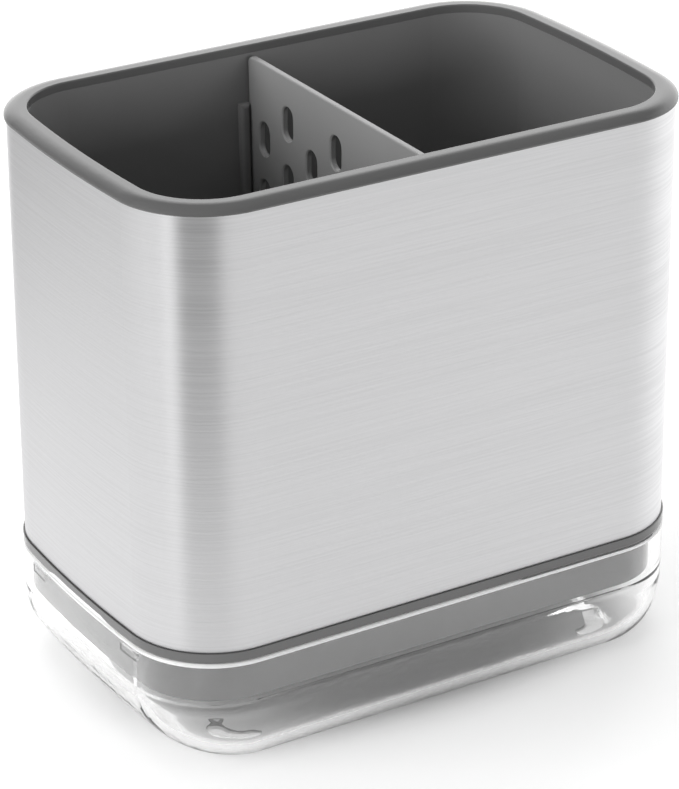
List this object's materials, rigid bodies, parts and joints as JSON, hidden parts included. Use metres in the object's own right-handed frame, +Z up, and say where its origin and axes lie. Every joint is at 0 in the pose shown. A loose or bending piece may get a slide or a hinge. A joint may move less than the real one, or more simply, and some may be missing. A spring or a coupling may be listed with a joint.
{
  "type": "sink caddy",
  "caption": "Kitchen sink caddy: brushed steel sleeve round a grey bin with a lift-out slotted divider, standing in a clear drip tray that the caddy lifts off.",
  "frame": {"origin": "middle of the bottom, on the surface the tray's feet stand on", "axes": "+Z up, +X along the long side, +Y from the front towards the back"},
  "size_m": [0.1562, 0.0996, 0.149],
  "materials": {
    "clear_tray": "clear moulded styrene acrylonitrile, polished",
    "foot_silicone": "clear silicone, satin",
    "brushed_sleeve": "stainless steel, brushed round the body",
    "bin_plastic": "moulded polypropylene, satin dark grey",
    "trim_plastic": "moulded ABS, satin grey",
    "divider_plastic": "moulded ABS, satin mid grey"
  },
  "bodies": {
    "tray": {"drip_tray": "clear_tray", "tray_foot_front_left": "foot_silicone", "tray_foot_front_right": "foot_silicone", "tray_foot_back_left": "foot_silicone", "tray_foot_back_right": "foot_silicone"},
    "caddy": {"base_collar": "trim_plastic", "steel_sleeve": "brushed_sleeve", "inner_bin": "bin_plastic", "rim_ring": "trim_plastic"},
    "divider": {"divider": "divider_plastic"}
  },
  "joints": [
    {"name": "caddy_lift", "type": "slide", "parent": "tray", "child": "caddy", "axis": [0, 0, 1], "range_m": [0, 0.04]},
    {"name": "divider_lift", "type": "slide", "parent": "caddy", "child": "divider", "axis": [0, 0, 1], "range_m": [0, 0.135]}
  ]
}
